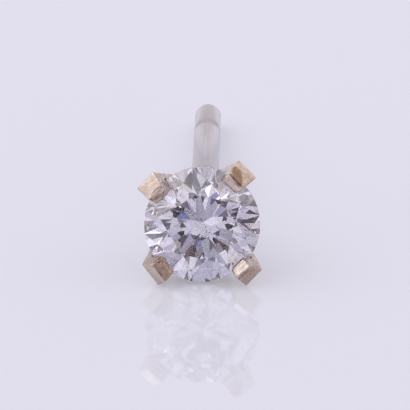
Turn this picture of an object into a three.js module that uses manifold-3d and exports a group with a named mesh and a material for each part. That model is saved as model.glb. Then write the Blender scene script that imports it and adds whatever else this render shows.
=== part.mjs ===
// A claw-set stud earring lying on a table, as it comes to rest by itself: a round brilliant
// faces -Y, and its ear post runs back along +Y to the table. Millimetres, +Z up.
// The origin is on the table, under the middle of the earring.
import * as THREE from 'three';
import { mergeVertices } from 'three/addons/utils/BufferGeometryUtils.js';
import Module from 'manifold-3d';

const wasm = await Module();
wasm.setup();

// Driving dimensions, in millimetres, degrees and shares of a length.
// Heights run along the earring's own axis from the middle of the girdle, forwards to the table.
const STONE = {
  diameter: 3.4,
  girdle: 0.12,
  girdleSides: 64,
  tableShare: 0.58,
  crownAngle: 34,
  pavilionAngle: 42.7,
  starShare: 0.5,
  lowerHalfShare: 0.78,
  turn: 9.5,
  tip: 5.5,
};
const CLAW = {
  thickness: 0.72,
  lean: 26,
  shoulderRadius: 2.1,
  shoulderHeight: 0.1,
  footHeight: -2.3,
  edge: 0.04,
};
const GALLERY = { radius: 1.2, wire: 0.48, height: -1.22, wireSides: 12, sides: 48 };
const CUP = { radius: 1.06, frontRadius: 0.72, front: -1.92, back: -2.45, edge: 0.07 };
const POST = { radius: 0.4, length: 10.6, tip: 0.32, fillet: 0.1, sides: 24 };
const NOTCH = { fromTip: 2.3, length: 0.7, depth: 0.08 };
const SEAT_GAP = 0.035;

// One row for each claw, seen from the front: where it stands round the stone, how far its square
// section is turned from facing straight out, its width and the width that the nose is filed down to,
// and the corners of its tip, each as [distance from the axis, height]. The end facet runs from the
// outer edge to the ridge, and the inner facet from there to the nose.
const CLAWS = [
  [55, -11, 0.75, 0.56, [2.22, 0.26], [1.78, 0.58], [1.46, 0.47]],
  [140.5, -4, 0.74, 0.5, [2.18, 0.26], [1.76, 0.58], [1.44, 0.49]],
  [225, -10, 0.8, 0.54, [2.12, 0.3], [1.84, 0.67], [1.42, 0.62]],
  [315, 2, 0.72, 0.48, [2.17, 0.3], [1.76, 0.73], [1.45, 0.57]],
].map(([angle, twist, width, noseWidth, outer, ridge, nose]) => (
  { angle, twist, width, noseWidth, outer, ridge, nose }
));

const radians = THREE.MathUtils.degToRad;
const cosine = (degrees) => Math.cos(radians(degrees));
const slopeOf = (degrees) => Math.tan(radians(degrees));
const angleOf = (slope) => THREE.MathUtils.radToDeg(Math.atan(slope));

// A closed three.js geometry as a solid that can be joined and cut.
function solidOf(geometry) {
  geometry.deleteAttribute('normal');
  geometry.deleteAttribute('uv');
  const merged = mergeVertices(geometry);
  return new wasm.Manifold(
    new wasm.Mesh({
      numProp: 3,
      vertProperties: merged.getAttribute('position').array,
      triVerts: new Uint32Array(merged.index.array),
    }),
  );
}

// A solid back as a three.js geometry.
function geometryOf(solid) {
  const { vertProperties, triVerts } = solid.getMesh();
  const geometry = new THREE.BufferGeometry();
  geometry.setAttribute('position', new THREE.BufferAttribute(vertProperties, 3));
  geometry.setIndex(new THREE.BufferAttribute(triVerts, 1));
  return geometry;
}

// Sizes of the brilliant that follow from its proportions.
// The eight main facets of the crown and the pavilion stand 45 degrees apart.
const MAIN_STEP = 45;
const toMiddle = cosine(MAIN_STEP / 2);
const toQuarter = cosine(MAIN_STEP / 4);
const stoneRadius = STONE.diameter / 2;
const girdleTop = STONE.girdle / 2;
const girdleFoot = -girdleTop;
const tableRadius = STONE.tableShare * stoneRadius;
const tableHeight = girdleTop + (stoneRadius - tableRadius) * slopeOf(STONE.crownAngle);
const culetHeight = girdleFoot - stoneRadius * slopeOf(STONE.pavilionAngle);
const starEdge = tableRadius * toMiddle;
const starTipRadius = THREE.MathUtils.lerp(starEdge, stoneRadius, STONE.starShare);
const starTipHeight = girdleTop + (stoneRadius - starTipRadius * toMiddle) * slopeOf(STONE.crownAngle);
const lowerTipRadius = (1 - STONE.lowerHalfShare) * stoneRadius;
const lowerTipDrop = (stoneRadius - lowerTipRadius * toMiddle) * slopeOf(STONE.pavilionAngle);
const upperHalfAngle = angleOf((starTipHeight - girdleTop) / ((stoneRadius - starTipRadius) * toQuarter));
const lowerHalfAngle = angleOf(lowerTipDrop / ((stoneRadius - lowerTipRadius) * toQuarter));
const starAngle = angleOf((tableHeight - starTipHeight) / (starTipRadius - starEdge));
const halfFacetEdge = stoneRadius * toQuarter;

// One row for each tier of facets, as a cutter grinds them: how many, the way that the first one faces,
// its angle from the girdle plane (below it on the pavilion), and a point that its plane goes through.
const TIERS = [
  { facets: 8, faces: 0, angle: STONE.crownAngle, distance: stoneRadius, height: girdleTop },
  { facets: 8, faces: MAIN_STEP / 2, angle: starAngle, distance: starEdge, height: tableHeight },
  { facets: 16, faces: MAIN_STEP / 4, angle: upperHalfAngle, distance: halfFacetEdge, height: girdleTop },
  { facets: 8, faces: 0, angle: -STONE.pavilionAngle, distance: stoneRadius, height: girdleFoot },
  { facets: 16, faces: MAIN_STEP / 4, angle: -lowerHalfAngle, distance: halfFacetEdge, height: girdleFoot },
];

// The pyramid that one tier of facets leaves. A crown tier ends at the stone's table.
function tierSolid({ facets, faces, angle, distance, height }) {
  const distanceAt = (level) => distance - (level - height) / slopeOf(angle);
  const foot = angle > 0 ? culetHeight : height + distance * slopeOf(angle);
  const toCorner = 1 / cosine(180 / facets);
  const footRadius = angle > 0 ? distanceAt(foot) * toCorner : 0;
  const pyramid = new THREE.CylinderGeometry(
    distanceAt(tableHeight) * toCorner,
    footRadius,
    tableHeight - foot,
    facets,
  );
  pyramid.rotateX(Math.PI / 2);
  pyramid.rotateZ(radians(faces + 90 - 180 / facets));
  pyramid.translate(0, 0, (tableHeight + foot) / 2);
  return solidOf(pyramid);
}

function stoneGeometry() {
  const depth = tableHeight - culetHeight;
  const blank = new THREE.CylinderGeometry(stoneRadius, stoneRadius, depth, STONE.girdleSides);
  blank.rotateX(Math.PI / 2);
  blank.translate(0, 0, (tableHeight + culetHeight) / 2);
  const cut = TIERS.reduce((stone, tier) => stone.intersect(tierSolid(tier)), solidOf(blank));
  return tipped(geometryOf(cut).rotateZ(radians(STONE.turn)));
}

// The stone sits in its claws with its table tipped up a little.
function tipped(geometry) {
  return geometry.rotateX(-radians(STONE.tip));
}

// The seat that the claws are cut to: the stone's outline, larger by the seat gap.
function seatSolid() {
  const SEAT_SIDES = 64;
  const wall = (stoneRadius + SEAT_GAP) / cosine(180 / SEAT_SIDES);
  const top = girdleTop + SEAT_GAP;
  const foot = girdleFoot - SEAT_GAP;
  const outline = [
    [0, foot - wall * slopeOf(lowerHalfAngle) * toQuarter],
    [wall, foot],
    [wall, top],
    [0, top + wall * slopeOf(upperHalfAngle) * toQuarter],
  ].map(([across, up]) => new THREE.Vector2(across, up));
  return solidOf(tipped(new THREE.LatheGeometry(outline, SEAT_SIDES).rotateX(Math.PI / 2)));
}

// The claw's shank: how far its outer and inner faces stand from the axis at a height.
const clawLean = slopeOf(CLAW.lean);
const clawOuterAt = (height) => CLAW.shoulderRadius + (height - CLAW.shoulderHeight) * clawLean;
const clawInnerAt = (height) => clawOuterAt(height) - CLAW.thickness / cosine(CLAW.lean);
const clawMiddle = (clawOuterAt(0) + clawInnerAt(0)) / 2;
const clawAxis = new THREE.Vector3(clawLean, 0, 1).normalize();

// The claw's side view before its seat is cut, with the distance from the axis across and the height
// along the axis up. The shank leans out to its shoulder, and the tip is filed down to the nose.
function clawOutline({ outer, ridge, nose }) {
  return new THREE.Shape(
    [
      [clawInnerAt(CLAW.footHeight), CLAW.footHeight],
      [clawOuterAt(CLAW.footHeight), CLAW.footHeight],
      [CLAW.shoulderRadius, CLAW.shoulderHeight],
      outer,
      ridge,
      nose,
      [nose[0], 0],
      [clawInnerAt(0), 0],
    ].map(([across, up]) => new THREE.Vector2(across, up)),
  );
}

// Files the sides of a claw's tip together, from its full width at the outer edge to the width of the nose.
function narrowTip(claw, { width, noseWidth, outer, nose }) {
  const points = claw.getAttribute('position');
  for (let i = 0; i < points.count; i++) {
    if (points.getZ(i) < CLAW.shoulderHeight) continue;
    const inwards = THREE.MathUtils.clamp((outer[0] - points.getX(i)) / (outer[0] - nose[0]), 0, 1);
    points.setY(i, points.getY(i) * THREE.MathUtils.lerp(1, noseWidth / width, inwards));
  }
}

// A claw: its side view given the claw's width, with the edges broken, then turned into its place.
function clawSolid(row) {
  const claw = new THREE.ExtrudeGeometry(clawOutline(row), {
    depth: row.width - 2 * CLAW.edge,
    bevelThickness: CLAW.edge,
    bevelSize: CLAW.edge,
    bevelOffset: -CLAW.edge,
    bevelSegments: 2,
  });
  claw.rotateX(Math.PI / 2);
  claw.translate(0, row.width / 2 - CLAW.edge, 0);
  narrowTip(claw, row);
  claw.translate(-clawMiddle, 0, 0);
  claw.applyMatrix4(new THREE.Matrix4().makeRotationAxis(clawAxis, radians(row.twist)));
  claw.translate(clawMiddle, 0, 0);
  claw.rotateZ(radians(row.angle));
  return solidOf(claw).subtract(seatSolid());
}

function gallerySolid() {
  const ring = new THREE.TorusGeometry(GALLERY.radius, GALLERY.wire / 2, GALLERY.wireSides, GALLERY.sides);
  ring.translate(0, 0, GALLERY.height);
  return solidOf(ring);
}

// The turned outline of the base cup and the ear post, from the rounded tip of the post forwards.
function stemOutline() {
  const end = CUP.back - POST.length;
  const TIP_STEPS = 5;
  const NOTCH_STEPS = 6;
  const outline = [];
  for (let step = 0; step <= TIP_STEPS; step++) {
    const turn = (step / TIP_STEPS) * (Math.PI / 2);
    outline.push([POST.radius * Math.sin(turn), end + POST.tip * (1 - Math.cos(turn))]);
  }
  for (let step = 0; step <= NOTCH_STEPS; step++) {
    const share = step / NOTCH_STEPS;
    const dip = (NOTCH.depth / 2) * (1 - Math.cos(2 * Math.PI * share));
    outline.push([POST.radius - dip, end + NOTCH.fromTip + NOTCH.length * (share - 0.5)]);
  }
  outline.push(
    [POST.radius, CUP.back - POST.fillet],
    [POST.radius + POST.fillet, CUP.back],
    [CUP.radius - CUP.edge, CUP.back],
    [CUP.radius, CUP.back + CUP.edge],
    [CUP.radius, CUP.front - (CUP.radius - CUP.frontRadius)],
    [CUP.frontRadius, CUP.front],
    [0, CUP.front],
  );
  return outline.map(([across, up]) => new THREE.Vector2(across, up));
}

function stemSolid() {
  return solidOf(new THREE.LatheGeometry(stemOutline(), POST.sides).rotateX(Math.PI / 2));
}

// Claws, gallery ring, base cup and post are soldered together, so they are one solid.
function settingGeometry() {
  const claws = CLAWS.map(clawSolid);
  return geometryOf([gallerySolid(), ...claws].reduce((joined, piece) => joined.add(piece), stemSolid()));
}

// The tilt at which the lower claws and the post's tip touch the table together.
function restingTilt(geometry) {
  const points = geometry.getAttribute('position');
  const lowest = (tilt, isPart) => {
    let least = Infinity;
    for (let i = 0; i < points.count; i++) {
      if (!isPart(points.getZ(i))) continue;
      least = Math.min(least, points.getY(i) * Math.cos(tilt) + points.getZ(i) * Math.sin(tilt));
    }
    return least;
  };
  const HALVINGS = 50;
  let [flat, steep] = [0, radians(30)];
  for (let i = 0; i < HALVINGS; i++) {
    const tilt = (flat + steep) / 2;
    const headAboveTip = lowest(tilt, (z) => z > CUP.back) - lowest(tilt, (z) => z < CUP.back);
    if (headAboveTip > 0) steep = tilt;
    else flat = tilt;
  }
  return flat;
}

const WHITE_GOLD = { color: 0xd8c6aa, metalness: 1, roughness: 0.28, flatShading: true };
const CLEAR_STONE = { color: 0xe6e6f2, metalness: 0, roughness: 0.02, flatShading: true };

const setting = new THREE.Mesh(settingGeometry(), new THREE.MeshStandardMaterial(WHITE_GOLD));
setting.name = 'claw_setting';
const stone = new THREE.Mesh(stoneGeometry(), new THREE.MeshStandardMaterial(CLEAR_STONE));
stone.name = 'stone';

// The earring in its own frame, tipped over to lie on the table.
const lying = new THREE.Group();
lying.rotation.x = Math.PI / 2 - restingTilt(setting.geometry);
lying.add(setting, stone);

const earring = new THREE.Group();
earring.add(lying);
const box = new THREE.Box3().setFromObject(earring, true);
const middle = box.getCenter(new THREE.Vector3());
lying.position.set(-middle.x, -middle.y, -box.min.z);

export default earring;
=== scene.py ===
"""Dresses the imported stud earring: filed claws, a drawn ear post and a clear brilliant with fine flecks."""

import math
import random

import bmesh
import bpy
from mathutils import Matrix, Vector, noise


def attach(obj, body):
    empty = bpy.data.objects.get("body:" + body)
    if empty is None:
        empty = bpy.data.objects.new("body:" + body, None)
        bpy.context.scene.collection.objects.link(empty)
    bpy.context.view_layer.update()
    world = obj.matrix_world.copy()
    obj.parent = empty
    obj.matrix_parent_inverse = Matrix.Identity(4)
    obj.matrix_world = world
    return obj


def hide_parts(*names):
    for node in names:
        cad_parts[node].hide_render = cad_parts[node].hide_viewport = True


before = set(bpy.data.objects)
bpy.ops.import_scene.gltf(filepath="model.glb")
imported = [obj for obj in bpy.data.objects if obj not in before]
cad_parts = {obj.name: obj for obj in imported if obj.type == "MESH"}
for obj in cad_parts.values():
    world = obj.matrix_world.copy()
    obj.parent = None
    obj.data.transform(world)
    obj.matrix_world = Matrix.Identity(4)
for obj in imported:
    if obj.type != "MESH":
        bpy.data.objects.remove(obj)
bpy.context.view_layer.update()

# The pieces are made in millimetres in the earring's own frame: the stone's axis is Z, its girdle is at
# height 0 and its table faces +Z. Then they are laid down on the table, in metres.
MM = 0.001
REST_TILT = math.radians(6.00176)
GIRDLE_MIDDLE = Vector((0.06397, -6.05300, 1.72885))
HEAD_PIECE = "setting_head"
POST_PIECE = "ear_post"
FLECKS_PIECE = "stone_flecks"

STONE_RADIUS = 1.7
STONE_TIP = math.radians(5.5)
GIRDLE = 0.12
CLAW_THICKNESS = 0.72
CLAW_LEAN = math.radians(26)
CLAW_SHOULDER = (2.1, 0.1)
CLAW_FOOT = -2.3
SEAT_GAP = 0.035
CROWN_SEAT_SLOPE = 0.844
PAVILION_SEAT_SLOPE = 0.943
GALLERY_RADIUS = 1.2
GALLERY_WIRE = 0.24
GALLERY_HEIGHT = -1.22
CUP_RADIUS = 1.06
CUP_FRONT_RADIUS = 0.72
CUP_FRONT = -1.92
CUP_BACK = -2.45
CUP_EDGE = 0.07
POST_RADIUS = 0.4
POST_LENGTH = 10.6
POST_TIP = 0.32
POST_FILLET = 0.1
NOTCH_FROM_TIP = 2.3
NOTCH_LENGTH = 0.7
NOTCH_DEPTH = 0.08

# One row for each claw, seen from the front: its place round the stone, the turn of its square section,
# its width and that of its nose, and the corners of its filed tip as (distance from the axis, height).
CLAW_COLUMNS = ("angle", "twist", "width", "nose_width", "outer", "ridge", "nose")
CLAWS = [
    dict(zip(CLAW_COLUMNS, row))
    for row in (
        (55, -11, 0.75, 0.56, (2.22, 0.26), (1.78, 0.58), (1.46, 0.47)),
        (140.5, -4, 0.74, 0.50, (2.18, 0.26), (1.76, 0.58), (1.44, 0.49)),
        (225, -10, 0.80, 0.54, (2.12, 0.30), (1.84, 0.67), (1.42, 0.62)),
        (315, 2, 0.72, 0.48, (2.17, 0.30), (1.76, 0.73), (1.45, 0.57)),
    )
]

# The sides of the round forms, and how far the post runs into the cup.
ROUND_SIDES = 96
WIRE_SIDES = 24
POST_SIDES = 64
POST_ROOT = 0.05

# The fused metal: the step of its skin, the rounds of polishing that soften its edges, the height of the
# swells that hand work leaves, and how close together the broad and the fine ones lie.
REMESH_STEP = 0.027
SOFTEN_ROUNDS = 9
HAND_WORK = 0.006
BROAD_SWELL = 2.6
FINE_SWELL = 6.0

# What counts as a claw's tip, how far from its nose the inner lip is worn, and the rounds of smoothing that
# wear it.
TIP_FROM = 0.3
TIP_INNER = 1.0
TIP_HALF_WIDTH = 0.5
LIP_REACH = 0.13
LIP_WEAR = 24

# Marks of wear and of the file on the claw tips, one row each: the claw's place in its table, the middle of
# the mark as distance from the axis and place across the claw, its half length and half width, how far its
# length is turned from lying across the claw in degrees, how square its outline is (2 for an oval), its
# depth, and how brown it is painted. The brown is partly tarnish and partly painted shade: it darkens the
# hollows of the nicks, and whole facets that mirror a dark part of the tent.
MARK_COLUMNS = ("claw", "out", "across", "half_length", "half_width", "turn", "square", "depth", "shade_and_tarnish")
MARKS = [
    dict(zip(MARK_COLUMNS, row))
    for row in (
        (0, 1.87, 0.06, 0.34, 0.15, 28, 2, 0.008, 1.0),
        (1, 1.78, -0.04, 0.27, 0.035, 0, 2, 0.018, 0.6),
        (1, 1.62, 0.05, 0.20, 0.05, 10, 2, 0.025, 0.7),
        (1, 1.55, -0.12, 0.16, 0.04, -14, 2, 0.04, 0.7),
        (1, 1.66, 0.28, 0.10, 0.06, -30, 2, 0.05, 1.0),
        # Painted shade: no hollow here, only brown over the whole inner facet of the third claw, where it
        # mirrors a dark part of the tent.
        (2, 1.62, 0.00, 0.36, 0.21, 0, 6, 0.0, 0.8),
        (2, 1.78, -0.10, 0.22, 0.04, 0, 2, 0.02, 1.0),
        (2, 1.72, -0.32, 0.07, 0.06, 0, 2, -0.03, 0.0),
        (3, 1.98, 0.03, 0.34, 0.22, 0, 4, 0.0, 0.3),
        (3, 1.80, -0.08, 0.28, 0.04, 4, 2, 0.025, 0.9),
        (3, 1.93, 0.05, 0.24, 0.03, -6, 2, 0.015, 0.6),
    )
]

# The brown of the marks, partly tarnish and partly painted shade: the name that it is noted under, its
# colour, how sharply it ends at the edge of a mark, and its mottling.
SHADE_AND_TARNISH = "shade_and_tarnish"
SHADE_AND_TARNISH_BROWN = (0.33, 0.205, 0.145)
SHADE_AND_TARNISH_EDGE = 5
MOTTLE_MEAN = 0.9
MOTTLE_SPREAD = 0.45
MOTTLE_GRAIN = 13

# Two loose clouds of tiny crystals under the stone's table, one row each: the middle, the spread and the
# count.
CLOUD_COLUMNS = ("x", "y", "spread_x", "spread_y", "count")
CLOUDS = [
    dict(zip(CLOUD_COLUMNS, row))
    for row in (
        (-0.36, 0.40, 0.18, 0.13, 90),
        (0.14, -0.14, 0.18, 0.10, 70),
    )
]

# The least and the greatest height and radius of a fleck, and how far its corners are chipped.
FLECK_HEIGHTS = (0.15, 0.4)
FLECK_SIZES = (0.006, 0.014)
FLECK_CHIP = 0.3

# The floor and the side light, in metres and watts.
FLOOR_HALF = 1.5
PANEL_PLACE = Vector((-0.4, 0.05, 0.5))
PANEL_WIDTH = 0.6
PANEL_POWER = 0.95
LIGHT_BOUNCES = 24

# The camera, with its distance in millimetres, and the pixel of the picture that the middle of the stone
# lies at.
CAMERA_AZIMUTH = 0.8
CAMERA_ELEVATION = 21.0
CAMERA_DISTANCE = 220.0
PIXELS_PER_MM = 34.15
PICTURE_SIDE = 410
STONE_IN_PICTURE = (202.2, 224.5)
SENSOR_WIDTH = 36.0

# The wall of the light tent round the earring, and the patches on it that the facets and the metal mirror.
# Angles are in degrees, and a patch fades out over its soft edge.
TENT_WHITE = (0.95, 0.93, 1.0)
TENT_STRENGTH = 0.92
PATCH_COLUMNS = ("azimuth", "elevation", "reach", "soft_edge", "colour")
TENT_PATCHES = [
    dict(zip(PATCH_COLUMNS, row))
    for row in (
        (180, 10, 60, 30, (0.72, 0.70, 0.78)),
        (6, 18, 34, 12, (1.08, 1.05, 1.14)),
        (-66, 20, 22, 12, (1.17, 1.13, 1.17)),
        (-45, 25, 7, 5, (2.0, 2.08, 2.3)),
        (88, 32, 14, 10, (1.5, 1.4, 1.5)),
        (54, 42, 12, 8, (1.12, 1.03, 0.96)),
        (40, 24, 9, 3, (0.12, 0.11, 0.14)),
        (-34, 10, 6, 3, (0.12, 0.11, 0.14)),
        (0, 57, 11, 4, (0.10, 0.09, 0.11)),
        (70, 8, 9, 4, (0.12, 0.11, 0.14)),
        (1, 16, 16.5, 4, (0.03, 0.025, 0.04)),
        (20, 15, 4, 3, (0.22, 0.25, 0.56)),
        (-18, 15, 4, 3, (0.22, 0.25, 0.56)),
        (0, 1, 7, 3, (0.23, 0.21, 0.25)),
    )
]


def lying_down():
    """The matrix from the earring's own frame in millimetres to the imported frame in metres."""
    sine = math.sin(REST_TILT)
    cosine = math.cos(REST_TILT)
    turn = Matrix(((1, 0, 0), (0, sine, -cosine), (0, cosine, sine))).to_4x4()
    return Matrix.Scale(MM, 4) @ Matrix.Translation(GIRDLE_MIDDLE) @ turn


def new_piece(name, mesh):
    """A mesh in the earring's own frame as a piece of the lying earring."""
    mesh.name = name
    mesh.transform(lying_down())
    piece = bpy.data.objects.new(name, mesh)
    bpy.context.scene.collection.objects.link(piece)
    return piece


def smooth_shaded(mesh):
    for face in mesh.polygons:
        face.use_smooth = True
    return mesh


def mesh_of(bm):
    bmesh.ops.recalc_face_normals(bm, faces=bm.faces)
    mesh = bpy.data.meshes.new("made")
    bm.to_mesh(mesh)
    bm.free()
    return mesh


# The claws

def claw_outer_at(height):
    return CLAW_SHOULDER[0] + (height - CLAW_SHOULDER[1]) * math.tan(CLAW_LEAN)


def claw_inner_at(height):
    return claw_outer_at(height) - CLAW_THICKNESS / math.cos(CLAW_LEAN)


def claw_outline(claw):
    """The claw's side view before its seat is cut, as (distance from the axis, height)."""
    nose = claw["nose"]
    return [
        (claw_inner_at(CLAW_FOOT), CLAW_FOOT),
        (claw_outer_at(CLAW_FOOT), CLAW_FOOT),
        CLAW_SHOULDER,
        claw["outer"],
        claw["ridge"],
        nose,
        (nose[0], 0),
        (claw_inner_at(0), 0),
    ]


def add_prism(bm, outline, width):
    """A closed prism from a side view, centred across its width."""
    near = [bm.verts.new((across, -width / 2, up)) for across, up in outline]
    far = [bm.verts.new((across, width / 2, up)) for across, up in outline]
    bm.faces.new(near)
    bm.faces.new(list(reversed(far)))
    count = len(outline)
    for i in range(count):
        following = (i + 1) % count
        bm.faces.new((near[following], near[i], far[i], far[following]))
    return near + far


def claw_place(claw):
    """The matrix that stands a claw in its place round the stone, twisted about its own leaning axis."""
    middle = (claw_outer_at(0) + claw_inner_at(0)) / 2
    own_axis = Vector((math.sin(CLAW_LEAN), 0, math.cos(CLAW_LEAN)))
    twist = Matrix.Rotation(math.radians(claw["twist"]), 4, own_axis)
    to_middle = Matrix.Translation((middle, 0, 0))
    round_axis = Matrix.Rotation(math.radians(claw["angle"]), 4, "Z")
    return round_axis @ to_middle @ twist @ to_middle.inverted()


def claw_mesh(claw):
    """A claw with its tip narrowed towards the nose."""
    bm = bmesh.new()
    made = add_prism(bm, claw_outline(claw), claw["width"])
    outer = claw["outer"][0]
    for vertex in made:
        if vertex.co.z < CLAW_SHOULDER[1]:
            continue
        inwards = min(max((outer - vertex.co.x) / (outer - claw["nose"][0]), 0), 1)
        vertex.co.y *= 1 + inwards * (claw["nose_width"] / claw["width"] - 1)
    bmesh.ops.transform(bm, matrix=claw_place(claw), verts=made)
    return mesh_of(bm)


def seat_mesh():
    """The form of the seat cutter: the stone's outline and a little more, tipped as the stone is."""
    wall = STONE_RADIUS + SEAT_GAP
    top = GIRDLE / 2 + SEAT_GAP
    outline = [
        (0, -top - wall * PAVILION_SEAT_SLOPE),
        (wall, -top),
        (wall, top),
        (0, top + wall * CROWN_SEAT_SLOPE),
    ]
    bm = bmesh.new()
    add_turned(bm, outline, ROUND_SIDES)
    bmesh.ops.rotate(bm, verts=bm.verts, matrix=Matrix.Rotation(-STONE_TIP, 3, "X"))
    return mesh_of(bm)


def held(name, mesh):
    """A mesh on a stand-in object, for the modifiers that work on it."""
    holder = bpy.data.objects.new(name, mesh)
    bpy.context.scene.collection.objects.link(holder)
    return holder


def finished(holder):
    """The stand-in's mesh after its modifiers."""
    shown = holder.evaluated_get(bpy.context.evaluated_depsgraph_get())
    mesh = bpy.data.meshes.new_from_object(shown)
    bpy.data.objects.remove(holder)
    return mesh


def seated_claw(claw, seat):
    holder = held("cutting", claw_mesh(claw))
    cut = holder.modifiers.new("seat", "BOOLEAN")
    cut.operation = "DIFFERENCE"
    cut.solver = "EXACT"
    cut.object = seat
    return finished(holder)


# The ring, the cup and the post

def add_turned(bm, outline, sides):
    """A closed turned form from (radius, height) points that start and end on the axis."""
    rings = []
    for radius, height in outline:
        if radius == 0:
            rings.append([bm.verts.new((0, 0, height))])
            continue
        ring = []
        for side in range(sides):
            turn = 2 * math.pi * side / sides
            ring.append(bm.verts.new((radius * math.cos(turn), radius * math.sin(turn), height)))
        rings.append(ring)
    for lower, upper in zip(rings, rings[1:]):
        for side in range(sides):
            following = (side + 1) % sides
            corners = [lower[side % len(lower)], lower[following % len(lower)]]
            corners += [upper[following % len(upper)], upper[side % len(upper)]]
            bm.faces.new(list(dict.fromkeys(corners)))


def add_ring(bm, radius, wire, height):
    """A closed ring of round wire."""
    hoops = []
    for side in range(ROUND_SIDES):
        turn = 2 * math.pi * side / ROUND_SIDES
        hoop = []
        for step in range(WIRE_SIDES):
            lap = 2 * math.pi * step / WIRE_SIDES
            reach = radius + wire * math.cos(lap)
            rise = height + wire * math.sin(lap)
            hoop.append(bm.verts.new((reach * math.cos(turn), reach * math.sin(turn), rise)))
        hoops.append(hoop)
    for side in range(ROUND_SIDES):
        near = hoops[side]
        far = hoops[(side + 1) % ROUND_SIDES]
        for step in range(WIRE_SIDES):
            following = (step + 1) % WIRE_SIDES
            bm.faces.new((near[step], far[step], far[following], near[following]))


def cup_outline():
    return [
        (0, CUP_BACK),
        (CUP_RADIUS - CUP_EDGE, CUP_BACK),
        (CUP_RADIUS, CUP_BACK + CUP_EDGE),
        (CUP_RADIUS, CUP_FRONT - (CUP_RADIUS - CUP_FRONT_RADIUS)),
        (CUP_FRONT_RADIUS, CUP_FRONT),
        (0, CUP_FRONT),
    ]


def post_outline():
    """The post from its rounded tip to a little inside the cup, with the friction notch."""
    end = CUP_BACK - POST_LENGTH
    tip_steps = 12
    notch_steps = 20
    outline = []
    for step in range(tip_steps + 1):
        turn = step / tip_steps * math.pi / 2
        radius = POST_RADIUS * math.sin(turn) if step else 0
        outline.append((radius, end + POST_TIP * (1 - math.cos(turn))))
    for step in range(notch_steps + 1):
        share = step / notch_steps
        dip = NOTCH_DEPTH / 2 * (1 - math.cos(2 * math.pi * share))
        outline.append((POST_RADIUS - dip, end + NOTCH_FROM_TIP + NOTCH_LENGTH * (share - 0.5)))
    bend = POST_FILLET * 0.3
    root = CUP_BACK + POST_ROOT
    outline += [
        (POST_RADIUS, CUP_BACK - POST_FILLET),
        (POST_RADIUS + bend, CUP_BACK - bend),
        (POST_RADIUS + POST_FILLET, CUP_BACK),
        (POST_RADIUS + POST_FILLET, root),
        (0, root),
    ]
    return outline


def fused(mesh):
    """Overlapping closed forms as one skin with softened edges, as solder and polishing leave them."""
    holder = held("fusing", mesh)
    join = holder.modifiers.new("join", "REMESH")
    join.mode = "VOXEL"
    join.voxel_size = REMESH_STEP
    soften = holder.modifiers.new("soften", "SMOOTH")
    soften.factor = 0.5
    soften.iterations = SOFTEN_ROUNDS
    return finished(holder)


def hand_worked(mesh):
    """Slight hollows and swells that the file leaves on every flat."""
    starts = [(vertex.co.copy(), vertex.normal.copy()) for vertex in mesh.vertices]
    for vertex, (place, outwards) in zip(mesh.vertices, starts):
        swell = noise.noise(place * BROAD_SWELL) + 0.5 * noise.noise(place * FINE_SWELL)
        vertex.co = place + outwards * swell * HAND_WORK
    return mesh


def worn_lips(mesh):
    """Rounds the claws' inner lips, which cloth and skin rub first."""
    bm = bmesh.new()
    bm.from_mesh(mesh)
    worn = []
    for claw in CLAWS:
        to_claw = claw_place(claw).inverted()
        for vertex in bm.verts:
            place = to_claw @ vertex.co
            on_tip = place.z > TIP_FROM and abs(place.y) < TIP_HALF_WIDTH
            if on_tip and TIP_INNER < place.x < claw["nose"][0] + LIP_REACH:
                worn.append(vertex)
    for _ in range(LIP_WEAR):
        bmesh.ops.smooth_vert(bm, verts=worn, factor=0.5, use_axis_x=True, use_axis_y=True, use_axis_z=True)
    bm.to_mesh(mesh)
    bm.free()
    return mesh


def mark_reach(mark, place):
    """How far a point of the claw is from a mark's middle: 0 there, and 1 at the mark's edge."""
    turn = math.radians(mark["turn"])
    out = place.x - mark["out"]
    across = place.y - mark["across"]
    along_mark = abs(across * math.cos(turn) + out * math.sin(turn)) / mark["half_length"]
    across_mark = abs(out * math.cos(turn) - across * math.sin(turn)) / mark["half_width"]
    return (along_mark ** mark["square"] + across_mark ** mark["square"]) ** (1 / mark["square"])


def marked(mesh):
    """Sinks the marks into the claw tips, and notes how brown each point is painted, as tarnish and as
    painted shade.
    """
    shade_and_tarnish = [0.0] * len(mesh.vertices)
    for mark in MARKS:
        to_claw = claw_place(CLAWS[mark["claw"]]).inverted()
        for i, vertex in enumerate(mesh.vertices):
            place = to_claw @ vertex.co
            if place.z < TIP_FROM:
                continue
            reach = mark_reach(mark, place)
            if reach < 1:
                vertex.co.z -= mark["depth"] * (1 - reach**2)
                mottle = MOTTLE_MEAN + MOTTLE_SPREAD * noise.noise(place * MOTTLE_GRAIN)
                brown = mark["shade_and_tarnish"] * min(1, SHADE_AND_TARNISH_EDGE * (1 - reach)) * mottle
                shade_and_tarnish[i] = max(shade_and_tarnish[i], brown)
    mesh.attributes.new(SHADE_AND_TARNISH, "FLOAT", "POINT").data.foreach_set("value", shade_and_tarnish)
    return mesh


def make_head():
    bm = bmesh.new()
    seat = held("seat", seat_mesh())
    for claw in CLAWS:
        bm.from_mesh(seated_claw(claw, seat))
    bpy.data.objects.remove(seat)
    add_ring(bm, GALLERY_RADIUS, GALLERY_WIRE, GALLERY_HEIGHT)
    add_turned(bm, cup_outline(), ROUND_SIDES)
    return new_piece(HEAD_PIECE, smooth_shaded(hand_worked(marked(worn_lips(fused(mesh_of(bm)))))))


def make_post():
    bm = bmesh.new()
    add_turned(bm, post_outline(), POST_SIDES)
    return new_piece(POST_PIECE, smooth_shaded(mesh_of(bm)))


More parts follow.
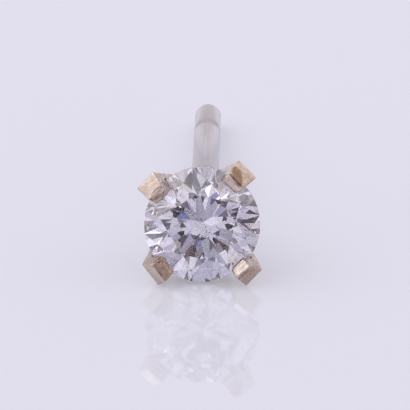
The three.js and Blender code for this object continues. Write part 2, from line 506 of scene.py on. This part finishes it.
def make_flecks():
    random.seed(7)
    bm = bmesh.new()
    for cloud in CLOUDS:
        for _ in range(cloud["count"]):
            x = random.gauss(cloud["x"], cloud["spread_x"])
            y = random.gauss(cloud["y"], cloud["spread_y"])
            place = Matrix.Translation((x, y, random.uniform(*FLECK_HEIGHTS)))
            size = random.uniform(*FLECK_SIZES)
            made = bmesh.ops.create_icosphere(bm, subdivisions=1, radius=size, matrix=place)
            for vertex in made["verts"]:
                chip = Vector((random.uniform(-1, 1), random.uniform(-1, 1), random.uniform(-1, 1)))
                vertex.co += chip * size * FLECK_CHIP
    return new_piece(FLECKS_PIECE, mesh_of(bm))


# Finishes

def new_finish(name):
    finish = bpy.data.materials.new(name)
    finish.use_nodes = True
    nodes = finish.node_tree.nodes
    return finish, nodes, finish.node_tree.links, nodes["Principled BSDF"]


def own_frame_mapping(nodes, links, coordinates):
    """Coordinates of the lying earring turned back to its own frame, in millimetres."""
    shift = nodes.new("ShaderNodeVectorMath")
    shift.operation = "SUBTRACT"
    shift.inputs[1].default_value = GIRDLE_MIDDLE * MM
    links.new(coordinates, shift.inputs[0])
    turn = nodes.new("ShaderNodeMapping")
    turn.inputs["Rotation"].default_value = (REST_TILT - math.pi / 2, 0, 0)
    turn.inputs["Scale"].default_value = (1 / MM, 1 / MM, 1 / MM)
    links.new(shift.outputs["Vector"], turn.inputs["Vector"])
    return turn.outputs["Vector"]


def build_tool_marks():
    """Fine marks of a file or a drawing plate, from their spacing across, round and along the axis."""
    group = bpy.data.node_groups.new("tool_marks", "ShaderNodeTree")
    sockets = group.interface
    for name, value in (("Across", 30.0), ("Round", 2.0), ("Along", 3.0)):
        socket = sockets.new_socket(name, in_out="INPUT", socket_type="NodeSocketFloat")
        socket.default_value = value
    sockets.new_socket("Height", in_out="OUTPUT", socket_type="NodeSocketFloat")
    sockets.new_socket("Wear", in_out="OUTPUT", socket_type="NodeSocketFloat")
    nodes = group.nodes
    links = group.links
    start = nodes.new("NodeGroupInput")
    end = nodes.new("NodeGroupOutput")
    place = nodes.new("ShaderNodeTexCoord")
    own = own_frame_mapping(nodes, links, place.outputs["Object"])
    split = nodes.new("ShaderNodeSeparateXYZ")
    links.new(own, split.inputs["Vector"])
    flat = nodes.new("ShaderNodeCombineXYZ")
    links.new(split.outputs["X"], flat.inputs["X"])
    links.new(split.outputs["Y"], flat.inputs["Y"])
    reach = nodes.new("ShaderNodeVectorMath")
    reach.operation = "LENGTH"
    links.new(flat.outputs["Vector"], reach.inputs[0])
    turn = nodes.new("ShaderNodeMath")
    turn.operation = "ARCTAN2"
    links.new(split.outputs["Y"], turn.inputs[0])
    links.new(split.outputs["X"], turn.inputs[1])
    spread = nodes.new("ShaderNodeCombineXYZ")
    for source, name, axis in (
        (reach.outputs["Value"], "Across", "X"),
        (turn.outputs["Value"], "Round", "Y"),
        (split.outputs["Z"], "Along", "Z"),
    ):
        times = nodes.new("ShaderNodeMath")
        times.operation = "MULTIPLY"
        links.new(source, times.inputs[0])
        links.new(start.outputs[name], times.inputs[1])
        links.new(times.outputs["Value"], spread.inputs[axis])
    marks = nodes.new("ShaderNodeTexNoise")
    marks.inputs["Scale"].default_value = 1.0
    marks.inputs["Detail"].default_value = 4.0
    marks.inputs["Roughness"].default_value = 0.6
    links.new(spread.outputs["Vector"], marks.inputs["Vector"])
    links.new(marks.outputs["Fac"], end.inputs["Height"])
    patches = nodes.new("ShaderNodeTexNoise")
    patches.inputs["Scale"].default_value = 12.0
    patches.inputs["Detail"].default_value = 5.0
    patches.inputs["Roughness"].default_value = 0.62
    links.new(own, patches.inputs["Vector"])
    wear = nodes.new("ShaderNodeMix")
    wear.inputs["Factor"].default_value = 0.55
    links.new(marks.outputs["Fac"], wear.inputs["A"])
    links.new(patches.outputs["Fac"], wear.inputs["B"])
    links.new(wear.outputs["Result"], end.inputs["Wear"])
    return group


def place_group(nodes, group, **values):
    node = nodes.new("ShaderNodeGroup")
    node.node_tree = group
    for name, value in values.items():
        node.inputs[name].default_value = value
    return node


def range_of(nodes, links, value, low, high, to_low, to_high):
    """A value spread from one range to another, held at its ends."""
    spread = nodes.new("ShaderNodeMapRange")
    links.new(value, spread.inputs["Value"])
    for name, number in zip(("From Min", "From Max", "To Min", "To Max"), (low, high, to_low, to_high)):
        spread.inputs[name].default_value = number
    return spread.outputs["Result"]


def blend_of(nodes, links, share, first, second):
    """Two colours mixed by a share."""
    mix = nodes.new("ShaderNodeMix")
    mix.data_type = "RGBA"
    links.new(share, mix.inputs["Factor"])
    mix.inputs["A"].default_value = (*first, 1)
    mix.inputs["B"].default_value = (*second, 1)
    return mix.outputs["Result"]


def worked_gold(name, tool_marks, bright, dull, spacing, roughness, depth):
    """Gold alloy with tool marks: brighter and duller patches, uneven gloss and a fine relief."""
    finish, nodes, links, surface = new_finish(name)
    surface.inputs["Metallic"].default_value = 1.0
    marks = place_group(nodes, tool_marks, **spacing)
    wear = range_of(nodes, links, marks.outputs["Wear"], 0.38, 0.64, 0.0, 1.0)
    links.new(blend_of(nodes, links, wear, bright, dull), surface.inputs["Base Color"])
    gloss = range_of(nodes, links, marks.outputs["Height"], 0.3, 0.7, roughness[0], roughness[1])
    links.new(gloss, surface.inputs["Roughness"])
    relief = nodes.new("ShaderNodeBump")
    relief.inputs["Strength"].default_value = 0.5
    relief.inputs["Distance"].default_value = depth * MM
    links.new(marks.outputs["Height"], relief.inputs["Height"])
    links.new(relief.outputs["Normal"], surface.inputs["Normal"])
    return finish


def shaded_and_tarnished(finish):
    """Browns a gold where its piece notes painted shade and tarnish."""
    nodes = finish.node_tree.nodes
    links = finish.node_tree.links
    colour = nodes["Principled BSDF"].inputs["Base Color"]
    clean = colour.links[0].from_socket
    brown = nodes.new("ShaderNodeAttribute")
    brown.attribute_name = SHADE_AND_TARNISH
    mix = nodes.new("ShaderNodeMix")
    mix.data_type = "RGBA"
    mix.inputs["B"].default_value = (*SHADE_AND_TARNISH_BROWN, 1)
    links.new(brown.outputs["Fac"], mix.inputs["Factor"])
    links.new(clean, mix.inputs["A"])
    links.new(mix.outputs["Result"], colour)


def clear_brilliant(name):
    """Polished facets round a frosted girdle."""
    finish, nodes, links, surface = new_finish(name)
    surface.inputs["Base Color"].default_value = (0.70, 0.672, 0.775, 1)
    surface.inputs["Transmission Weight"].default_value = 1.0
    surface.inputs["IOR"].default_value = 2.417
    place = nodes.new("ShaderNodeNewGeometry")
    facing = nodes.new("ShaderNodeVectorMath")
    facing.operation = "DOT_PRODUCT"
    facing.inputs[1].default_value = (0, -math.cos(REST_TILT), math.sin(REST_TILT))
    links.new(place.outputs["True Normal"], facing.inputs[0])
    upright = nodes.new("ShaderNodeMath")
    upright.operation = "ABSOLUTE"
    links.new(facing.outputs["Value"], upright.inputs[0])
    frost = range_of(nodes, links, upright.outputs["Value"], 0.05, 0.15, 0.3, 0.0)
    links.new(frost, surface.inputs["Roughness"])
    return finish


def fleck_finish(name):
    finish, nodes, links, surface = new_finish(name)
    place = nodes.new("ShaderNodeTexCoord")
    grain = nodes.new("ShaderNodeTexNoise")
    grain.inputs["Scale"].default_value = 9000.0
    links.new(place.outputs["Object"], grain.inputs["Vector"])
    links.new(
        blend_of(nodes, links, grain.outputs["Fac"], (0.10, 0.09, 0.10), (0.5, 0.47, 0.48)),
        surface.inputs["Base Color"],
    )
    surface.inputs["Roughness"].default_value = 0.6
    return finish


# The floor, the light and the camera

def make_floor():
    bm = bmesh.new()
    bmesh.ops.create_grid(bm, x_segments=8, y_segments=8, size=FLOOR_HALF)
    floor = bpy.data.objects.new("floor", mesh_of(bm))
    bpy.context.scene.collection.objects.link(floor)
    finish, nodes, links, surface = new_finish("pale_table")
    place = nodes.new("ShaderNodeTexCoord")
    haze = nodes.new("ShaderNodeTexNoise")
    haze.inputs["Scale"].default_value = 60.0
    links.new(place.outputs["Object"], haze.inputs["Vector"])
    links.new(
        blend_of(nodes, links, haze.outputs["Fac"], (0.46, 0.455, 0.515), (0.468, 0.463, 0.523)),
        surface.inputs["Base Color"],
    )
    surface.inputs["Emission Color"].default_value = (0.285, 0.285, 0.314, 1)
    surface.inputs["Emission Strength"].default_value = 1.0
    surface.inputs["Roughness"].default_value = 0.01
    surface.inputs["IOR"].default_value = 1.6
    floor.data.materials.append(finish)


def direction(azimuth, elevation):
    """The way out from the earring: azimuth 0 is in front of the stone, and 90 is right in the picture."""
    azimuth = math.radians(azimuth)
    elevation = math.radians(elevation)
    return Vector(
        (
            math.sin(azimuth) * math.cos(elevation),
            -math.cos(azimuth) * math.cos(elevation),
            math.sin(elevation),
        )
    )


def make_camera():
    lens = bpy.data.cameras.new("camera")
    camera = bpy.data.objects.new("camera", lens)
    bpy.context.scene.collection.objects.link(camera)
    back = direction(CAMERA_AZIMUTH, CAMERA_ELEVATION)
    turn = (-back).to_track_quat("-Z", "Y")
    right = turn @ Vector((1, 0, 0))
    up = turn @ Vector((0, 1, 0))
    middle = PICTURE_SIDE / 2
    aside = (middle - STONE_IN_PICTURE[0]) / PIXELS_PER_MM
    above = (STONE_IN_PICTURE[1] - middle) / PIXELS_PER_MM
    aim = GIRDLE_MIDDLE + right * aside + up * above
    camera.location = (aim + back * CAMERA_DISTANCE) * MM
    camera.rotation_mode = "QUATERNION"
    camera.rotation_quaternion = turn
    lens.sensor_width = SENSOR_WIDTH
    lens.lens = SENSOR_WIDTH * CAMERA_DISTANCE * PIXELS_PER_MM / PICTURE_SIDE
    lens.clip_start = 0.01
    lens.clip_end = 10.0
    bpy.context.scene.camera = camera


def make_tent():
    world = bpy.data.worlds.new("light_tent")
    bpy.context.scene.world = world
    world.use_nodes = True
    nodes = world.node_tree.nodes
    links = world.node_tree.links
    glow = nodes["Background"]
    glow.inputs["Strength"].default_value = TENT_STRENGTH
    place = nodes.new("ShaderNodeTexCoord")
    wall = None
    for patch in TENT_PATCHES:
        facing = nodes.new("ShaderNodeVectorMath")
        facing.operation = "DOT_PRODUCT"
        facing.inputs[1].default_value = direction(patch["azimuth"], patch["elevation"])
        links.new(place.outputs["Generated"], facing.inputs[0])
        outside = math.cos(math.radians(patch["reach"] + patch["soft_edge"]))
        inside = math.cos(math.radians(patch["reach"]))
        share = range_of(nodes, links, facing.outputs["Value"], outside, inside, 0.0, 1.0)
        paint = nodes.new("ShaderNodeMix")
        paint.data_type = "RGBA"
        links.new(share, paint.inputs["Factor"])
        paint.inputs["A"].default_value = (*TENT_WHITE, 1)
        if wall:
            links.new(wall, paint.inputs["A"])
        paint.inputs["B"].default_value = (*patch["colour"], 1)
        wall = paint.outputs["Result"]
    links.new(wall, glow.inputs["Color"])


def make_light():
    scene = bpy.context.scene
    make_tent()
    panel = bpy.data.lights.new("left_panel", "AREA")
    panel.shape = "DISK"
    panel.size = PANEL_WIDTH
    panel.energy = PANEL_POWER
    panel.color = (1.0, 0.98, 0.96)
    lamp = bpy.data.objects.new("left_panel", panel)
    scene.collection.objects.link(lamp)
    lamp.location = PANEL_PLACE
    lamp.rotation_mode = "QUATERNION"
    lamp.rotation_quaternion = (-PANEL_PLACE).to_track_quat("-Z", "Y")
    scene.view_settings.view_transform = "Standard"
    scene.view_settings.look = "None"
    scene.cycles.max_bounces = LIGHT_BOUNCES
    scene.cycles.transmission_bounces = LIGHT_BOUNCES
    scene.cycles.glossy_bounces = LIGHT_BOUNCES


# The dressed earring

tool_marks = build_tool_marks()
claw_gold = worked_gold(
    "filed_claw_gold",
    tool_marks,
    bright=(0.72, 0.615, 0.545),
    dull=(0.46, 0.355, 0.295),
    spacing={"Across": 12.0, "Round": 3.0, "Along": 3.0},
    roughness=(0.16, 0.34),
    depth=0.012,
)
# Painted shade and tarnish: the claw tips are browned where the marks note it.
shaded_and_tarnished(claw_gold)
post_gold = worked_gold(
    "drawn_post_gold",
    tool_marks,
    bright=(0.685, 0.635, 0.64),
    dull=(0.62, 0.57, 0.575),
    spacing={"Across": 0.5, "Round": 6.0, "Along": 0.4},
    roughness=(0.2, 0.28),
    depth=0.0004,
)
brilliant = clear_brilliant("clear_brilliant")
flecks_grey = fleck_finish("grey_flecks")

head = make_head()
post = make_post()
flecks = make_flecks()
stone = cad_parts["stone"]
for piece, finish in ((head, claw_gold), (post, post_gold), (flecks, flecks_grey)):
    piece.data.materials.append(finish)
    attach(piece, "root")
stone.data.materials.clear()
stone.data.materials.append(brilliant)
for piece in (head, post):
    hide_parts("claw_setting")

make_floor()
make_light()
make_camera()
